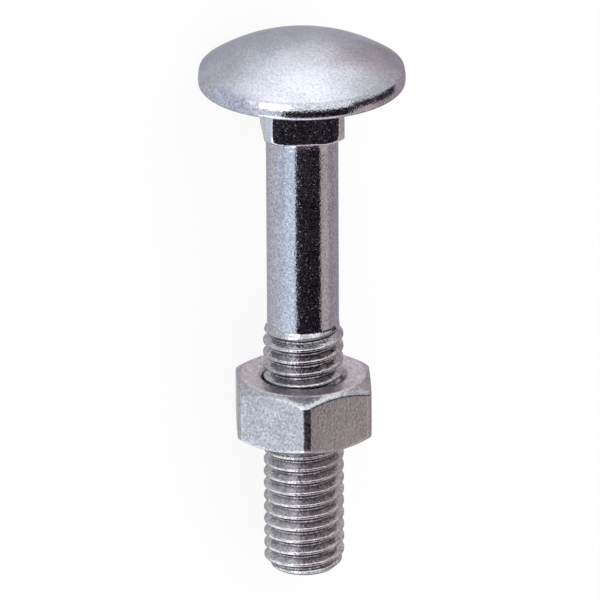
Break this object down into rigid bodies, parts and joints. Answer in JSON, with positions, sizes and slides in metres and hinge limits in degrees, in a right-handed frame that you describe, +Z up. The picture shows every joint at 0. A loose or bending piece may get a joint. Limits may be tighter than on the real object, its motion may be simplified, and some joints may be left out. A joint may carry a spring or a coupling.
{
  "type": "carriage bolt with hexagon nut",
  "caption": "Domed round head on a square neck, plain shank and threaded end, with a hexagon nut run on; clamps timber without turning under the spanner.",
  "frame": {"origin": "middle of the head's bearing face, on the bolt's axis", "axes": "+X runs from the head towards the threaded end, +Z is up and +Y completes the set. The bolt lies on the rim of its head and on a flat of the nut, so its axis drops 5.52 degrees below +X."},
  "size_m": [0.0551, 0.02, 0.02],
  "materials": {
    "bolt_zinc": "bright blue-white zinc plate, satin on the head and shinier on the shank",
    "nut_zinc": "zinc plate over forged and tapped steel, satin flats and grainy faces"
  },
  "bodies": {
    "bolt": {"bolt": "bolt_zinc"},
    "nut": {"nut": "nut_zinc"}
  },
  "joints": [
    {"name": "nut_travel", "type": "slide", "parent": "bolt", "child": "nut", "axis": [0.9954, 0, -0.0962], "range_m": [-0.00375, 0.0125]}
  ]
}
